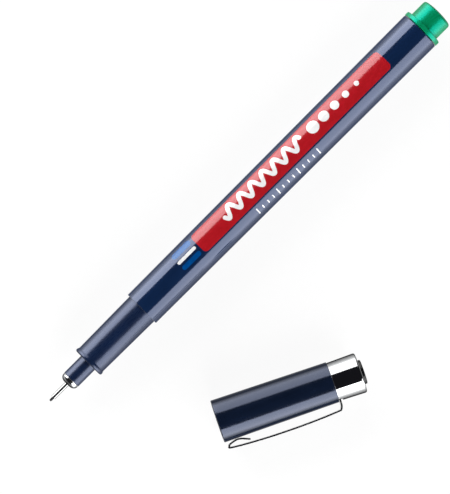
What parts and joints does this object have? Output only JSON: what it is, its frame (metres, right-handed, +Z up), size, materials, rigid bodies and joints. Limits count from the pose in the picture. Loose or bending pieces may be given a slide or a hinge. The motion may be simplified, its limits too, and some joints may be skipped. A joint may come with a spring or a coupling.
{
  "type": "felt-tip pen",
  "caption": "Slim round felt-tip pen with a steel needle point, grip, tapered barrel, posting plug, and its clip cap lying open beside it.",
  "frame": {"origin": "middle of the bottom of the box round the pen and its cap, on the surface they lie on", "axes": "+X along the pen from nib to end plug, +Y from the cap towards the pen, +Z up"},
  "size_m": [0.1318, 0.0576, 0.0106],
  "materials": {
    "navy_plastic": "moulded, glossy navy blue",
    "green_plastic": "moulded, glossy green",
    "black_plastic": "moulded, satin black",
    "seal_plastic": "natural, soft and matt",
    "nose_steel": "turned and polished",
    "spring_steel": "polished spring strip",
    "sleeve_chrome": "mirror plated",
    "nib_fibre": "bonded fibre, inked",
    "ink_fibre": "bundled fibre, wet with green ink",
    "clear_film": "thin clear film"
  },
  "bodies": {
    "pen": {"fibre_nib": "nib_fibre", "needle_sleeve": "nose_steel", "nose_collar": "nose_steel", "nib_holder": "navy_plastic", "grip_section": "navy_plastic", "feed_wick": "ink_fibre", "ink_reservoir": "ink_fibre", "reservoir_film": "clear_film", "barrel": "navy_plastic", "end_plug": "green_plastic"},
    "cap": {"cap_body": "navy_plastic", "inner_cap": "seal_plastic", "clip_ring": "spring_steel", "cap_sleeve": "sleeve_chrome", "cap_end_plug": "black_plastic"},
    "clip": {"clip": "spring_steel"}
  },
  "joints": [
    {"name": "cap_swing", "type": "hinge", "parent": "pen", "child": "cap", "pos_m": [-0.05089, 0.01069, 0.00526], "axis": [0, 0, -1], "range_deg": [0, 153.86]},
    {"name": "clip_flex", "type": "hinge", "parent": "cap", "child": "clip", "pos_m": [-0.01709, -0.02647, 0.00531], "axis": [0, 0, 1], "range_deg": [0, 6], "stiffness_Nm_per_rad": 0.3}
  ]
}
